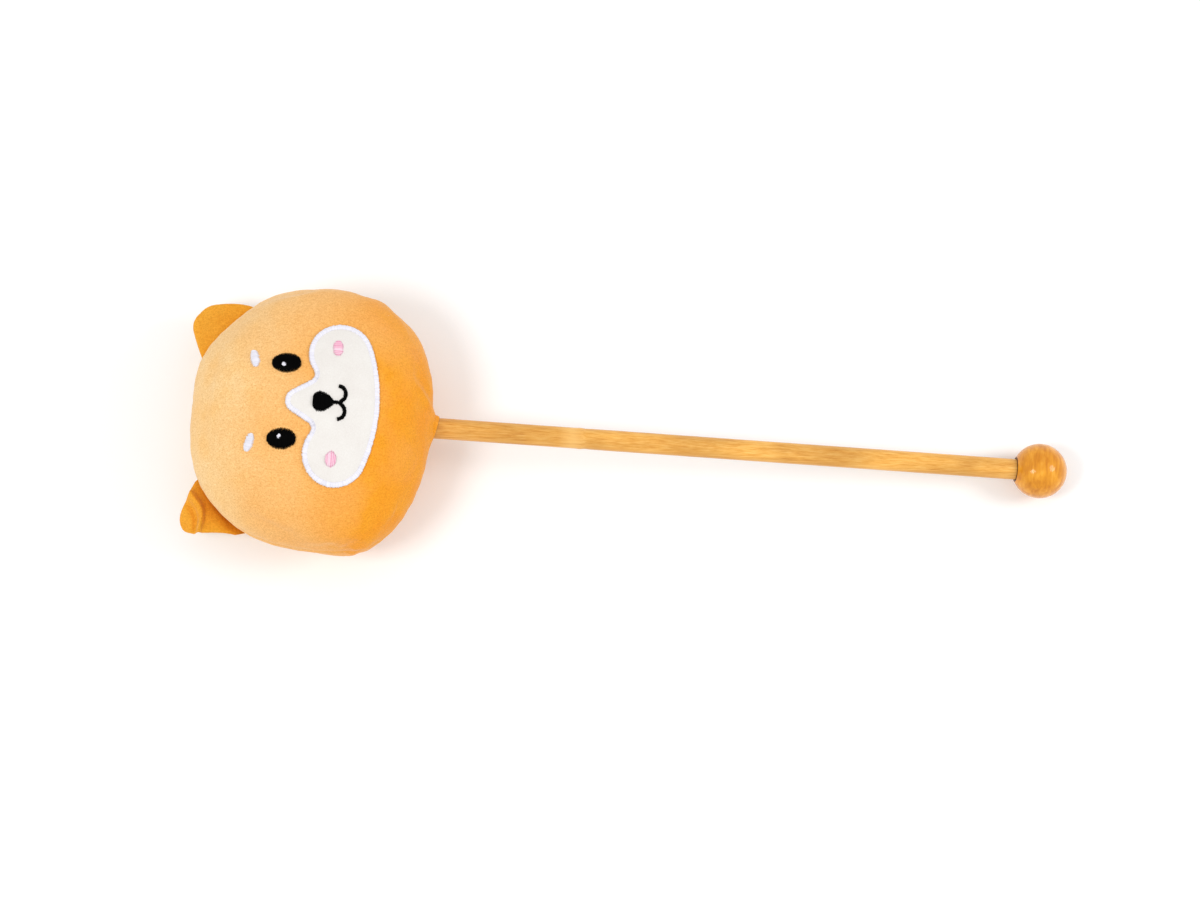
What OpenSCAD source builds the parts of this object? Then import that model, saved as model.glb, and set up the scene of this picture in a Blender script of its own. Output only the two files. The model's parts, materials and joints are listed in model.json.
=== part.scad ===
// Plush dog head on a turned wooden stick: a stick puppet that is also a soft tapping mallet.
// It lies face up on the back of its head and on its grip ball, as it does on a table.
// +X runs along the stick from the crown of the head to the grip ball, +Y to the dog's own left
// and +Z up. The origin is on the flat patch that the head rests on, under the head's centre.
// Head frame: u along the stick towards the ball, v to the dog's left, w out of the face.

/* [Head] */
// Half the width of the head across the cheeks
head_half_w = 60.5; // [50:0.5:75]
// Length from the widest line up to the crown
crown_len = 64.5; // [54:0.5:78]
// Length from the widest line down to the chin
chin_len = 42.5; // [35:0.5:53]
// Depth of the face in front of the seam
face_depth = 40; // [33:0.5:49]
// Depth of the back of the head behind the seam, before the table flattens it
back_depth = 40; // [36:0.5:49]
// Roundness of the head's outline, where 2 is an ellipse
outline_pow = 2.4; // [2:0.1:3]
// How far the resting patch is pressed in by the table
rest_sink = 2.5; // [1.5:0.5:4]

/* [Fabric] */
// Thickness of the plush, backing and pile together
skin_t = 2; // [1.2:0.1:3]
// Room inside the seam for its turned-in edge
seam_room = 1.2; // [1:0.1:2]
// Thickness of the thread that closes the head's seam
seam_thread_d = 0.9; // [0.5:0.1:1]
// Distance from the neck's hole to each end of the seam's thread
seam_stop = 2.7; // [1.5:0.1:8]

/* [Ears] */
// Direction in which an ear leaves the head, from the crown towards the cheek
ear_a = 41; // [36:0.5:46]
// How far the ears sit behind the head's seam
ear_back = 22; // [18:0.5:26]
// Height above the fold line at which an ear's two sides would meet
ear_h = 26; // [21:0.5:31]
// Width of the ear flap along its fold line
ear_w = 38; // [32:0.5:44]
// How far the ear's tip leans towards the crown
ear_lean = 4.5; // [2:0.5:7]
// Radius of the ear's rounded tip
ear_tip_r = 8.5; // [6:0.5:9]
// Thickness of each of the ear's two layers
ear_layer_t = 2.4; // [1.6:0.1:3]
// Shortest height of the sewn ear base between head and fold line
ear_base_h = 2.4; // [1.5:0.1:4]
// Thickness of the sewn ear base
ear_base_t = 3; // [2:0.5:4]
// Clearance between the ear base and the flap that folds
fold_gap = 0.6; // [0.5:0.1:0.8]

/* [Muzzle] */
// Radius of the muzzle's two cheek lobes
lobe_r = 14.2; // [12:0.1:16]
// Distance of each lobe's centre from the middle of the face
lobe_v = 22.5; // [20:0.5:25]
// Place of the lobes' centres below the widest line
lobe_u = 0.6; // [-1:0.1:2]
// Lowest point of the muzzle below the widest line
muzzle_low = 18.9; // [17.4:0.1:21]
// Height of the blaze's tip above the widest line
blaze_top = 22.5; // [21.5:0.5:26]
// Radius of the blaze's tip
blaze_r = 5.6; // [4:0.1:6]
// Slope of the blaze's sides
blaze_a = 31; // [26:1:34]
// Radius where the blaze runs into a lobe
web_r = 3; // [2.9:0.1:4]
// Width of the satin border round the muzzle
border_w = 2.6; // [2:0.1:2.8]
// Thickness of the muzzle's fabric
muzzle_t = 1.2; // [0.8:0.1:2]
// Height of the satin border above the plush
border_t = 1.5; // [1:0.1:2]

/* [Face] */
// Length of an eye along the head
eye_len = 12.5; // [10.5:0.1:14]
// Width of an eye
eye_w = 8.8; // [7:0.1:10]
// Height of the eyes above the widest line
eye_up = 22.95; // [22:0.05:25]
// Distance of each eye from the middle of the face
eye_side = 17.1; // [15.5:0.1:19]
// Radius of the white glint in each eye
glint_r = 1.1; // [0.9:0.05:1.5]
// Height of a glint above its eye's middle
glint_up = 1.95; // [0:0.05:2.5]
// Distance of a glint from its eye's middle, towards the middle of the face
glint_in = 1; // [0:0.1:1.5]
// Length of a brow mark
brow_len = 7.5; // [5:0.1:9]
// Width of a brow mark
brow_w = 3.3; // [2.5:0.1:4]
// Height of the brow marks above the widest line
brow_up = 37.1; // [35.5:0.1:40]
// Distance of each brow mark from the middle of the face
brow_side = 18.9; // [16:0.1:22]
// Lean of a brow mark, its outer end towards the crown
brow_a = 14; // [0:1:30]
// Length of a cheek mark along the head
cheek_len = 4.8; // [3.5:0.1:6]
// Width of a cheek mark
cheek_w = 7.4; // [5.5:0.1:9]
// Height of the cheek marks above the widest line
cheek_up = 0.8; // [-1:0.1:2.5]
// Distance of each cheek mark from the middle of the face
cheek_side = 25; // [22:0.1:27]
// Radius of the nose's wide end
nose_r = 4.5; // [4:0.1:5.5]
// Place of the nose's wide end along u
nose_u = -7; // [-8:0.1:-6]
// Place of the mouth's middle along u, where the nose's narrow end meets it
mouth_u = 0.8; // [0:0.1:1.5]
// Half the width of the mouth
mouth_half_w = 7.2; // [6:0.1:9]
// Sag of each half of the mouth's line
mouth_sag = 2.2; // [2:0.1:3]
// Width of the mouth's line
mouth_line = 1.6; // [1.2:0.1:2]
// Thickness of the embroidery above what it is sewn to
stitch_t = 0.9; // [0.5:0.1:1.5]

/* [Stick and balls] */
// Diameter of the stick
stick_d = 9.5; // [8:0.1:11]
// Length of stick in view between the neck and the grip ball
stick_free = 265; // [220:1:318]
// Depth of the stick in each ball's bore
bore_depth = 13; // [11:0.5:15]
// Bevel on the stick's two ends
stick_bevel = 0.6; // [0.3:0.1:1]
// Radial clearance of the stick in a bore, filled by glue
bore_gap = 0.1; // [0.05:0.01:0.15]
// Diameter of the grip ball
ball_d = 25; // [21:0.5:30]
// Width of the countersunk rim round the grip ball's bore
mouth_rim = 0.9; // [0.6:0.05:2]
// Depth of the countersink in the grip ball's mouth
sink_depth = 1; // [0.6:0.1:1.4]
// Diameter of the ball that anchors the stick inside the head
anchor_d = 22; // [18.5:0.5:26]
// Place of the anchor ball's centre above the widest line
anchor_up = 6; // [0:1:12]
// Thickness of the glue spot at the bottom of each bore
glue_t = 0.4; // [0.2:0.1:0.8]

/* [Neck] */
// How far the gathered neck stands out from the chin
neck_out = 3.5; // [2:0.5:5]
// Fullness of the gathers in the two panels' hole, beyond the fabric round the stick
neck_fullness = 2.7; // [2:0.1:5.5]
// Thickness of the gathered fabric round the stick
neck_t = 1.5; // [1:0.1:1.8]
// Length of gathered fabric round the stick inside the chin
neck_in = 9; // [7:0.5:12]
// Thickness of the thread that binds the gathers
bind_d = 0.9; // [0.5:0.1:1.2]
// Turns of the binding thread
bind_turns = 3; // [2:1:5]

/* [Hidden] */

LEFT = 1;
RIGHT = -1;
FACE = 1;
BACK = -1;

SPOKES = 60;      // mesh steps round the head
RINGS = 10;       // mesh steps from the head's middle to its seam
ROUND = 96;       // smoothness of turned parts
contact = 0.05;   // gap between soft pieces that lie on each other
sewn_lift = 0.15; // gap under a sewn piece, for the curve between mesh points

stick_r = stick_d / 2;
ball_r = ball_d / 2;
anchor_r = anchor_d / 2;
seat_r = stick_r + bore_gap;
sink_r = seat_r + mouth_rim;

// Embroidered marks of the left half of the face: places, and half lengths along and across
eye_at = [-eye_up, eye_side];
eye_half = [eye_len, eye_w] / 2;
glint_at = eye_at - [glint_up, glint_in];
brow_at = [-brow_up, brow_side];
brow_half = [brow_len, brow_w] / 2;
cheek_at = [-cheek_up, cheek_side];
cheek_half = [cheek_len, cheek_w] / 2;

// The neck: gathers round the stick, the hole they fill and the half angle it takes of the seam
collar_in = stick_r + contact;
collar_out = collar_in + neck_t;
neck_hole_r = collar_out + neck_fullness;
seam_open_a = asin((neck_hole_r + seam_stop) / chin_len);

// Places along the stick, in the head frame
neck_u = chin_len + neck_out;
ball_mouth_u = neck_u + stick_free;
ball_u = ball_mouth_u + sqrt(pow(ball_r, 2) - pow(sink_r, 2));
anchor_u = -anchor_up;
anchor_mouth_u = anchor_u + sqrt(pow(anchor_r, 2) - pow(seat_r, 2));
stick_from = anchor_mouth_u - bore_depth;
stick_to = ball_mouth_u + bore_depth;

// The stick slopes down from the head's centre to the grip ball, and both rest on the table
rest_h = back_depth - rest_sink;
tilt = asin((rest_h - ball_r) / ball_u);

// ---- Shape of the head ----

// Share of the way from the head's middle (0) to its seam (1), raised to outline_pow
function reach(p, inset = 0) =
    pow(abs(p.x) / ((p.x > 0 ? chin_len : crown_len) - inset), outline_pow)
    + pow(abs(p.y) / (head_half_w - inset), outline_pow);

// Seam radius in the direction a, which is 0 at the chin and 180 at the crown
function seam_r(a, inset = 0) = pow(reach([cos(a), sin(a)], inset), -1 / outline_pow);

// Height of the face above the seam at the point p
function face_w(p) = face_depth * sqrt(max(0, 1 - reach(p)));

// Height at which the table cuts the head, lifted by raise
function table_w(u, raise) = (u * sin(tilt) - rest_h + raise) / cos(tilt);

// Size of the head's section at the height w behind the seam, as a share of the seam
function section(w) = pow(1 - pow(w / back_depth, 2), 1 / outline_pow);

function polar(r, a) = [r * cos(a), r * sin(a)];
function spread(k, n) = sin(90 * k / n);

// One point of the head's skin: ring k of n, spoke j, inset from the outside by in_wall at the
// middle and by in_seam at the seam
function skin_point(side, k, j, in_wall, in_seam) =
    let (
        a = 360 * j / SPOKES,
        rho = spread(k, RINGS),
        p = rho * polar(seam_r(a, in_seam), a),
        depth = (side == FACE ? face_depth : back_depth) - in_wall,
        w = side * depth * sqrt(max(0, 1 - pow(rho, outline_pow)))
    )
    [p.x, p.y, side == FACE ? w : max(w, table_w(p.x, in_wall))];

function skin_grid(side, in_wall, in_seam) = concat(
    [skin_point(side, 0, 0, in_wall, in_seam)],
    [for (k = [1:RINGS], j = [0:SPOKES - 1]) skin_point(side, k, j, in_wall, in_seam)]
);

// ---- Meshes made of rings of m points about a first, middle point ----

function ring_at(k, j, m, base) = base + (k == 0 ? 0 : 1 + (k - 1) * m + (j % m));

function disc_faces(rings, m, base, flip) = [
    for (k = [0:rings - 1], j = [0:m - 1])
        let (
            a = ring_at(k, j, m, base),
            b = ring_at(k + 1, j, m, base),
            c = ring_at(k + 1, j + 1, m, base),
            d = ring_at(k, j + 1, m, base)
        )
        for (f = k == 0 ? [[a, b, c]] : [[a, b, c], [a, c, d]])
            flip ? [f[2], f[1], f[0]] : f
];

// Band between two closed rows of m points
function band_faces(m, from, to, flip) = [
    for (j = [0:m - 1])
        let (n = (j + 1) % m)
        for (f = [[from + j, from + n, to + n], [from + j, to + n, to + j]])
            flip ? [f[2], f[1], f[0]] : f
];

function disc_count(rings, m) = 1 + rings * m;
function last_ring(rings, m, base) = base + 1 + (rings - 1) * m;

// Solid between an upper and a lower disc with the same rings
module disc_pair(upper, lower, rings, m) {
    n = disc_count(rings, m);
    polyhedron(
        points = concat(upper, lower),
        faces = concat(
            disc_faces(rings, m, 0, true),
            disc_faces(rings, m, n, false),
            band_faces(m, last_ring(rings, m, 0), last_ring(rings, m, n), false)
        ),
        convexity = 4
    );
}

// Solid through rows of corners, which are listed left-handed about the direction of each row
module strip(rows, closed) {
    m = len(rows[0]);
    sides = len(rows);
    steps = closed ? m : m - 1;
    walls = [
        for (s = [0:sides - 1], j = [0:steps - 1])
            let (
                t = (s + 1) % sides,
                n = (j + 1) % m,
                a = s * m + j, b = s * m + n, c = t * m + n, d = t * m + j
            )
            for (f = [[a, c, b], [a, d, c]]) f
    ];
    ends = closed ? [] : [
        [for (s = [sides - 1:-1:0]) s * m],
        [for (s = [0:sides - 1]) s * m + m - 1]
    ];
    polyhedron(points = [for (r = rows, p = r) p], faces = concat(walls, ends), convexity = 6);
}

// ---- Outlines ----

function arc(centre, r, from, to, n) = [
    for (i = [0:n]) centre + polar(r, from + (to - from) * i / n)
];

function ellipse(centre, size, turn, n) = [
    for (i = [0:n - 1])
        let (p = [size.x * cos(360 * i / n), size.y * sin(360 * i / n)])
        centre + [p.x * cos(turn) - p.y * sin(turn), p.x * sin(turn) + p.y * cos(turn)]
];

function heading(v) = atan2(v.y, v.x);
function unit(v) = v / norm(v);

// Rounds one corner of a convex outline that runs anticlockwise
function rounded_corner(before, at, after, r, n) =
    let (
        d_in = unit(at - before),
        d_out = unit(after - at),
        turn = (heading(d_out) - heading(d_in) + 360) % 360,
        centre = at - d_in * r * tan(turn / 2) + r * [-d_in.y, d_in.x],
        start = heading([d_in.y, -d_in.x])
    )
    arc(centre, r, start, start + turn, n);

function rounded(corners, radii, n) = [
    for (i = [0:len(corners) - 1])
        let (m = len(corners))
        for (p = rounded_corner(corners[(i + m - 1) % m], corners[i], corners[(i + 1) % m],
                                radii[i], n)) p
];

// The muzzle's outline, moved inwards by inset. Each half is the blaze's tip, its straight
// side, the hollow web, the cheek lobe and half of the long chin arc, all tangent.
blaze_tip = [-blaze_top + blaze_r, 0];
lobe = [lobe_u, lobe_v];
side_out = [-sin(blaze_a), cos(blaze_a)];
side_along = [cos(blaze_a), sin(blaze_a)];
// The web's centre is web_r outside the blaze's side and lobe_r + web_r from the lobe's centre
web_from = blaze_tip + (blaze_r + web_r) * side_out;
web_b = (web_from - lobe) * side_along;
web_c = pow(norm(web_from - lobe), 2) - pow(lobe_r + web_r, 2);
web = web_from + side_along * (-web_b - sqrt(pow(web_b, 2) - web_c));
// The chin arc passes through muzzle_low and holds both lobes
low_gap = muzzle_low - lobe_u;
chin_r = (pow(low_gap, 2) + pow(lobe_v, 2) - pow(lobe_r, 2)) / (2 * (low_gap - lobe_r));
chin_c = [muzzle_low - chin_r, 0];
web_a = heading(lobe - web);
chin_a = heading(lobe - chin_c);
// From here every point of the rim is in plain view, so that rings about it don't cross
muzzle_mid = [lobe_u + lobe_r / 2, 0];

function muzzle_half(inset) = concat(
    arc(blaze_tip, blaze_r - inset, 180, 90 + blaze_a, 6),
    arc(web, web_r + inset, blaze_a - 90, web_a, 6),
    arc(lobe, lobe_r - inset, web_a + 180, chin_a, 18),
    arc(chin_c, chin_r - inset, chin_a, 0, 8)
);

function muzzle_rim(inset) =
    let (half = muzzle_half(inset), n = len(half))
    concat(half, [for (i = [n - 2:-1:1]) [half[i].x, -half[i].y]]);

nose_tip_r = 0.9;
nose_tip = [mouth_u - nose_tip_r, 0];
nose_centre = [nose_u, 0];
nose_flank = asin((nose_r - nose_tip_r) / norm(nose_tip - nose_centre));
nose_rim = concat(
    arc(nose_centre, nose_r, 90 - nose_flank, 270 + nose_flank, 20),
    arc(nose_tip, nose_tip_r, nose_flank - 90, 90 - nose_flank, 4)
);

// ---- Pieces that lie on the face ----

// Sewn solid over the outline rim about the point centre. It starts lift above the plush, and
// is edge_t thick at its edge and crown_t thicker in its middle.
module on_face(rim, centre, lift, edge_t, crown_t, rings = 3) {
    m = len(rim);
    flat = concat([[centre, 0]], [
        for (k = [1:rings], p = rim) [centre + (p - centre) * k / rings, k / rings]
    ]);
    lower = [for (f = flat) [f[0].x, f[0].y, face_w(f[0]) + lift]];
    upper = [
        for (f = flat)
            [f[0].x, f[0].y, face_w(f[0]) + lift + edge_t + crown_t * (1 - pow(f[1], 2))]
    ];
    reversed = heading(rim[1] - centre) < heading(rim[0] - centre);
    if (reversed) disc_pair(lower, upper, rings, m);
    else disc_pair(upper, lower, rings, m);
}

function lifted(points, h) = [for (p = points) [p.x, p.y, face_w(p) + h]];

muzzle_top = sewn_lift + muzzle_t;
on_muzzle = muzzle_top + sewn_lift;

module mark(place, size, turn, side, lift) {
    at = [place.x, side * place.y];
    on_face(ellipse(at, size, side * turn, 28), at, lift, stitch_t / 2, stitch_t / 2);
}

// ---- Frames ----

module in_head_frame() {
    translate([0, 0, rest_h]) rotate([0, tilt, 0]) children();
}

// x along the stick, from the place u
module turned(u) {
    in_head_frame() translate([u, 0, 0]) rotate([0, 90, 0]) rotate_extrude($fn = ROUND) children();
}

// Fold line of the left ear: the head's section at the ear is furthest out along ear_out at
// ear_foot, and the line runs ear_base_h beyond that
ear_out = [-cos(ear_a), sin(ear_a)];
ear_along = [-sin(ear_a), -cos(ear_a)];
foot_reach = let (m = outline_pow / (outline_pow - 1))
    pow(pow(crown_len * cos(ear_a), m) + pow(head_half_w * sin(ear_a), m), 1 / m);
function foot_part(half, share) = half * pow(half * share / foot_reach, 1 / (outline_pow - 1));
base_front_w = -ear_back + ear_base_t / 2;
base_rear_w = -ear_back - ear_base_t / 2;
ear_foot = section(base_front_w)
    * [-foot_part(crown_len, cos(ear_a)), foot_part(head_half_w, sin(ear_a))];
ear_fold = ear_foot + ear_base_h * ear_out;

module in_ear_frame(side) {
    in_head_frame()
        mirror([0, side == LEFT ? 0 : 1, 0])
            translate([ear_fold.x, ear_fold.y, -ear_back])
                rotate([0, 0, 180 - ear_a]) children();
}

// ---- Head ----

module panel(side) {
    outer = skin_grid(side, 0, 0);
    inner = skin_grid(side, skin_t, skin_t);
    difference() {
        in_head_frame()
            if (side == FACE) disc_pair(outer, inner, RINGS, SPOKES);
            else disc_pair(inner, outer, RINGS, SPOKES);
        turned(0) square([neck_hole_r, neck_u]);
    }
}

module head_front_panel() {
    color("sandybrown") panel(FACE);
}

module head_back_panel() {
    color("sandybrown") panel(BACK);
}

module head_seam_thread() {
    r = seam_thread_d / 2;
    sides = 6;
    steps = 84;
    rows = [
        for (s = [0:sides - 1]) [
            for (i = [0:steps])
                let (
                    a = seam_open_a + (360 - 2 * seam_open_a) * i / steps,
                    p = polar(seam_r(a, skin_t + seam_room / 2) + r * cos(360 * s / sides), a)
                )
                [p.x, p.y, r * sin(360 * s / sides)]
        ]
    ];
    color("peru") in_head_frame() strip(rows, false);
}

module stuffing() {
    in_wall = skin_t + contact;
    in_seam = skin_t + seam_room;
    face = skin_grid(FACE, in_wall, in_seam);
    rear = skin_grid(BACK, in_wall, in_seam);
    collar_r = stick_r + neck_t + bind_d + 2 * contact;
    color("whitesmoke") difference() {
        in_head_frame() disc_pair(face, rear, RINGS, SPOKES);
        turned(stick_from - glue_t) square([stick_r + contact, neck_u - stick_from]);
        turned(anchor_u) polygon(ball_section(anchor_r + contact));
        turned(neck_u - neck_out - neck_in - contact)
            square([collar_r, neck_in + neck_out]);
        turned(collar_from) square([neck_hole_r + contact, neck_u - collar_from]);
    }
}

// Half of a ball's section, from its far pole round to its near pole
function ball_section(r) = arc([0, 0], r, -90, 90, 48);

module muzzle_patch() {
    color("ivory") in_head_frame()
        on_face(muzzle_rim(border_w + contact), muzzle_mid, sewn_lift, muzzle_t, 0, 6);
}

module muzzle_border() {
    mid_t = border_t * 1.2;
    rows = [
        lifted(muzzle_rim(border_w), sewn_lift),
        lifted(muzzle_rim(border_w), sewn_lift + border_t / 2),
        lifted(muzzle_rim(border_w * 0.75), sewn_lift + border_t),
        lifted(muzzle_rim(border_w / 2), sewn_lift + mid_t),
        lifted(muzzle_rim(border_w * 0.25), sewn_lift + border_t),
        lifted(muzzle_rim(0), sewn_lift + border_t / 2),
        lifted(muzzle_rim(0), sewn_lift)
    ];
    color("white") in_head_frame() strip(rows, true);
}

module nose() {
    color("black") in_head_frame()
        on_face(nose_rim, nose_centre, on_muzzle, stitch_t / 2, stitch_t / 2);
}

// The mouth is two sagging arcs joined by a small one under the nose's narrow end
mouth_top = mouth_u + mouth_line / 2 + 2 * contact;
mouth_mid_r = mouth_line * 0.6;
mouth_half_v = mouth_half_w * 0.55;
mouth_rise = mouth_sag - mouth_mid_r;
mouth_r = (pow(mouth_rise, 2) + pow(mouth_half_v, 2) - pow(mouth_mid_r, 2)) / (2 * mouth_sag);
mouth_mid = [mouth_top + mouth_mid_r, 0];
mouth_half_c = [mouth_top + mouth_sag - mouth_r, mouth_half_v];
mouth_join_a = heading(mouth_mid - mouth_half_c);
mouth_end_a = asin((mouth_half_w - mouth_half_v) / mouth_r);

// Left half of the mouth's line, moved by off towards the nose
function mouth_half(off) = concat(
    arc(mouth_half_c, mouth_r - off, mouth_end_a, mouth_join_a, 14),
    arc(mouth_mid, mouth_mid_r + off, mouth_join_a + 180, 180, 4)
);

function mouth_edge(off) =
    let (half = mouth_half(off), n = len(half))
    concat(half, [for (i = [n - 2:-1:0]) [half[i].x, -half[i].y]]);

module mouth() {
    rows = [
        lifted(mouth_edge(-mouth_line / 2), on_muzzle),
        lifted(mouth_edge(-mouth_line / 2), on_muzzle + stitch_t / 2),
        lifted(mouth_edge(0), on_muzzle + stitch_t),
        lifted(mouth_edge(mouth_line / 2), on_muzzle + stitch_t / 2),
        lifted(mouth_edge(mouth_line / 2), on_muzzle)
    ];
    color("black") in_head_frame() strip(rows, false);
}

module eye(side) {
    color("black") in_head_frame() mark(eye_at, eye_half, 0, side, sewn_lift);
}

module glint(side) {
    color("white") in_head_frame()
        mark(glint_at, [glint_r, glint_r], 0, side, sewn_lift + stitch_t + contact);
}

module brow(side) {
    color("white") in_head_frame() mark(brow_at, brow_half, 90 + brow_a, side, sewn_lift);
}

module cheek(side) {
    color("pink") in_head_frame() mark(cheek_at, cheek_half, 0, side, on_muzzle);
}

// ---- Ears ----

// Left ear flap in its own frame: x out from the fold line, y along it towards the crown
ear_inner = ear_w / 2;
ear_outer = -ear_w / 2;
ear_rim = rounded(
    [[0, ear_inner], [0, ear_outer], [ear_h, ear_lean]],
    [1.5, 1.5, ear_tip_r],
    12
);
ear_middle = [ear_h * 0.36, 0];

module ear_layer(side, front) {
    m = len(ear_rim);
    rings = 6;
    flat = concat([[ear_middle, 0]], [
        for (k = [1:rings], p = ear_rim)
            [ear_middle + (p - ear_middle) * spread(k, rings), spread(k, rings)]
    ]);
    dome = [
        for (f = flat)
            [f[0].x, f[0].y, front * ear_layer_t * sqrt(max(0, 1 - pow(f[1], 2)))]
    ];
    base = [for (f = flat) [f[0].x, f[0].y, 0]];
    n = disc_count(rings, m);
    // The dome and the flat middle share their last ring
    shared = [
        for (f = disc_faces(rings, m, n, false))
            [for (i = f) i >= last_ring(rings, m, n) ? i - n : i]
    ];
    faces = concat(disc_faces(rings, m, 0, true), shared);
    color("sandybrown") in_ear_frame(side)
        polyhedron(
            points = concat(dome, base),
            faces = front == FACE ? faces : [for (f = faces) [f[2], f[1], f[0]]],
            convexity = 2
        );
}

// Sewn strip of the ear between the head's skin and the fold line
module ear_base(side) {
    steps = 14;
    inset = 1.5;
    places = [
        for (i = [0:steps])
            ear_outer + inset + (ear_inner - ear_outer - 2 * inset) * i / steps
    ];
    function foot(y, w) =
        let (a = heading(ear_fold + y * ear_along))
        polar(seam_r(a) * section(w) + sewn_lift, a);
    function low(w) = [for (y = places) let (p = foot(y, w)) [p.x, p.y, w]];
    function high(w) = [
        for (y = places) let (p = ear_fold - fold_gap * ear_out + y * ear_along) [p.x, p.y, w]
    ];
    rows = [low(base_front_w), low(base_rear_w), high(base_rear_w), high(base_front_w)];
    color("peru") in_head_frame() mirror([0, side == LEFT ? 0 : 1, 0]) strip(rows, false);
}

// ---- Neck ----

collar_from = chin_len - skin_t - 3;

// Gathered fabric: a tube on the stick inside the chin, a plug in the panels' hole, and a
// hollow flare that runs down to the stick
module neck_collar() {
    plug_r = neck_hole_r - contact;
    flare_u = chin_len + 0.2;
    flare = [
        for (i = [0:8])
            let (t = i / 8)
            [collar_out * 0.95 + (plug_r - collar_out * 0.95) * pow(1 - t, 2.5),
             flare_u + (neck_u - flare_u) * t]
    ];
    color("peru") turned(0) polygon(concat(
        [
            [collar_in, chin_len - neck_in],
            [collar_out, chin_len - neck_in],
            [collar_out, collar_from],
            [plug_r, collar_from]
        ],
        flare,
        [[collar_in, neck_u]]
    ));
}

module neck_binding() {
    pitch = bind_d + contact;
    first = chin_len - neck_in + bind_d;
    color("peru") for (i = [0:bind_turns - 1])
        turned(first + i * pitch)
            translate([collar_out + contact + bind_d / 2, 0]) circle(d = bind_d, $fn = 24);
}

// ---- Stick and balls ----

module stick() {
    length = stick_to - stick_from;
    color("burlywood") turned(stick_from) polygon([
        [0, 0], [stick_r - stick_bevel, 0], [stick_r, stick_bevel],
        [stick_r, length - stick_bevel], [stick_r - stick_bevel, length], [0, length]
    ]);
}

module grip_ball() {
    color("goldenrod") difference() {
        turned(ball_u) polygon(ball_section(ball_r));
        turned(ball_mouth_u - ball_r) square([ball_r, ball_r]);
        turned(ball_mouth_u - 1) square([seat_r, bore_depth + glue_t + 1]);
        turned(ball_mouth_u) polygon([[0, 0], [sink_r, 0], [seat_r, sink_depth], [0, sink_depth]]);
    }
}

// Glue that fills the countersink round the stick, and the spot at the bore's bottom
module grip_ball_glue() {
    fill_r = seat_r + (sink_r - seat_r) * 0.7;
    color("saddlebrown") {
        turned(ball_mouth_u + 0.3 * sink_depth) polygon([
            [stick_r, 0], [fill_r, 0], [seat_r, 0.7 * sink_depth], [stick_r, 0.7 * sink_depth]
        ]);
        turned(stick_to) square([stick_r - stick_bevel, glue_t]);
    }
}

module anchor_ball() {
    color("tan") difference() {
        turned(anchor_u) polygon(ball_section(anchor_r));
        turned(stick_from - glue_t) square([seat_r, anchor_d]);
    }
}

module anchor_glue() {
    color("saddlebrown") turned(stick_from - glue_t) square([stick_r - stick_bevel, glue_t]);
}

head_front_panel();
head_back_panel();
head_seam_thread();
stuffing();
muzzle_patch();
muzzle_border();
nose();
mouth();
eye(LEFT);  // left_eye
eye(RIGHT);  // right_eye
glint(LEFT);  // left_eye_glint
glint(RIGHT);  // right_eye_glint
brow(LEFT);  // left_brow
brow(RIGHT);  // right_brow
cheek(LEFT);  // left_cheek
cheek(RIGHT);  // right_cheek
ear_base(LEFT);  // left_ear_base
ear_layer(LEFT, FACE);  // left_ear_front
ear_layer(LEFT, BACK);  // left_ear_back
ear_base(RIGHT);  // right_ear_base
ear_layer(RIGHT, FACE);  // right_ear_front
ear_layer(RIGHT, BACK);  // right_ear_back
neck_collar();
neck_binding();
stick();
grip_ball();
grip_ball_glue();
anchor_ball();
anchor_glue();
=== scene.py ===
"""Looks of the plush dog head on a bamboo stick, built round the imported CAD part.

Head frame: u runs along the stick from the crown towards the grip ball, v to the dog's own
left and w out of the face. Its origin is the head's centre. Lengths are in metres.
"""

import json
import math

import bmesh
import bpy
import numpy as np
from mathutils import Matrix, Vector, noise
from mathutils.bvhtree import BVHTree


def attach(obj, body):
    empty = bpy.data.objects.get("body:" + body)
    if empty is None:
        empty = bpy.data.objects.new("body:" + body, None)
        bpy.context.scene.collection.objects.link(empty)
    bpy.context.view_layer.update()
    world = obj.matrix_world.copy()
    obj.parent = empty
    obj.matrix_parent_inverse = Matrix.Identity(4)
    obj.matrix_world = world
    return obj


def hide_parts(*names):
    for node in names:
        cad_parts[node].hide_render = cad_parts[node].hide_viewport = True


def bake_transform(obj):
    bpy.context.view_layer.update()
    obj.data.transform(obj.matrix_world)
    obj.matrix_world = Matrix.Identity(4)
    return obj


MM = 0.001
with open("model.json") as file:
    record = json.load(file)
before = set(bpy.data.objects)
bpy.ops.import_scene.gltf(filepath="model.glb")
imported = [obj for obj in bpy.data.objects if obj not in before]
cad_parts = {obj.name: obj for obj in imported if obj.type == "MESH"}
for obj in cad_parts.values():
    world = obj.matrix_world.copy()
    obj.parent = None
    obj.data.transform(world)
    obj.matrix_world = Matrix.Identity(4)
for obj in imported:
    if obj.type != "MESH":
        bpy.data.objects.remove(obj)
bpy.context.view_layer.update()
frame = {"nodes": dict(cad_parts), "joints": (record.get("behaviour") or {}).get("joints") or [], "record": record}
RECORD = frame["record"]

# ---------------------------------------------------------------- head frame


GRIP = next(m for m in RECORD["mounts"] if m["name"] == "stick_grip")
AXIS_U = np.array(GRIP["axis"], float)
AXIS_V = np.array([0.0, 1.0, 0.0])
AXIS_W = np.cross(AXIS_U, AXIS_V)
CENTRE = np.array(GRIP["pos_m"], float) - AXIS_U * GRIP["pos_m"][0] / AXIS_U[0]
STICK_R = GRIP["dims"]["r_mm"] * MM


def to_world(points):
    p = np.asarray(points, float)
    return CENTRE + p[..., :1] * AXIS_U + p[..., 1:2] * AXIS_V + p[..., 2:3] * AXIS_W


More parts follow.
